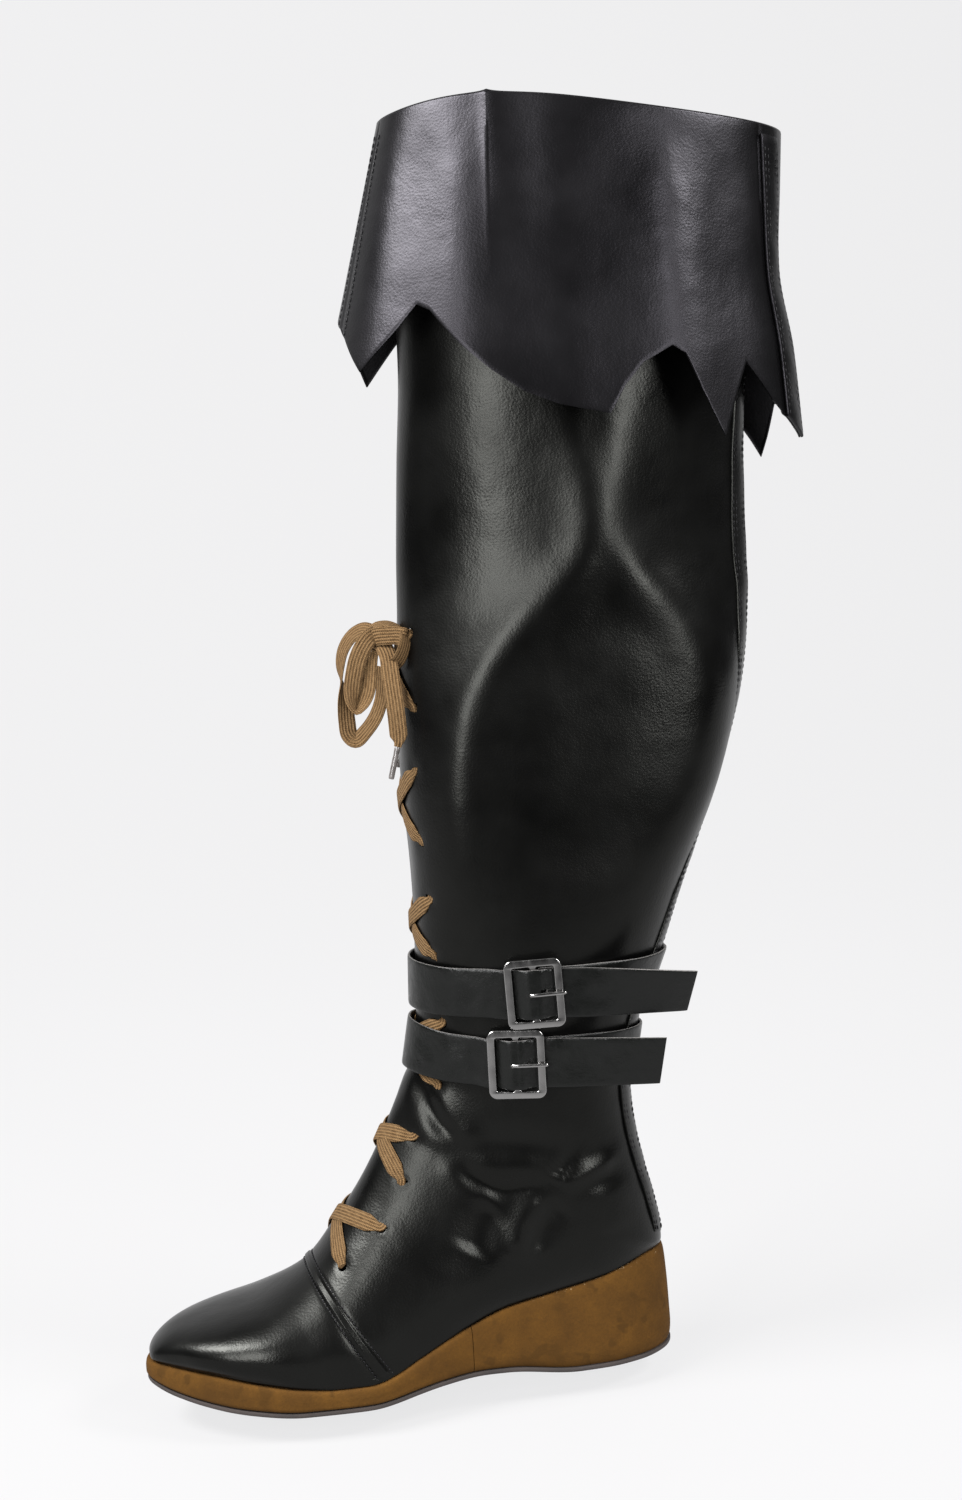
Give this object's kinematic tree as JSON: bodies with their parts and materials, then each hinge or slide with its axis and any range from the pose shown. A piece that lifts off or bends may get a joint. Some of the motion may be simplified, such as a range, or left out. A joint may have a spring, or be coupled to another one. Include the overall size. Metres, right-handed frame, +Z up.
{
  "type": "over-knee boot",
  "caption": "Left over-knee costume boot on a wedge sole: laced front, buckled ankle straps and a fold-down cuff with a zigzag hem.",
  "frame": {"origin": "on the floor, in the middle of the heel's flat spot", "axes": "+X to the toe, +Y to the boot's outer side, +Z up"},
  "size_m": [0.3494, 0.1459, 0.6198],
  "materials": {
    "shaft_leather": "smooth black synthetic leather",
    "wedge_cover": "brown suede-like synthetic",
    "outsole_rubber": "dark matt rubber",
    "insole_board": "dark cloth over board and foam",
    "lace": "flat woven tan-brown lace",
    "buckle_nickel": "polished nickel",
    "lace_tip": "grey plastic"
  },
  "bodies": {
    "root": {"outsole": "outsole_rubber", "heel_wedge": "wedge_cover", "forefoot_midsole": "wedge_cover", "insole": "insole_board", "upper": "shaft_leather", "back_strip": "shaft_leather", "cuff": "shaft_leather", "cuff_back_tape": "shaft_leather", "strap_upper": "shaft_leather", "strap_lower": "shaft_leather", "buckle_upper": "buckle_nickel", "prong_upper": "buckle_nickel", "buckle_lower": "buckle_nickel", "prong_lower": "buckle_nickel", "lace_cross_1": "lace", "lace_cross_2": "lace", "lace_cross_3": "lace", "lace_cross_4": "lace", "lace_cross_5": "lace", "lace_cross_6": "lace", "lace_knot": "lace", "lace_loop_inner": "lace", "lace_loop_outer": "lace", "lace_end_outer": "lace", "lace_end_inner": "lace", "aglet_outer": "lace_tip", "aglet_inner": "lace_tip"}
  },
  "joints": []
}
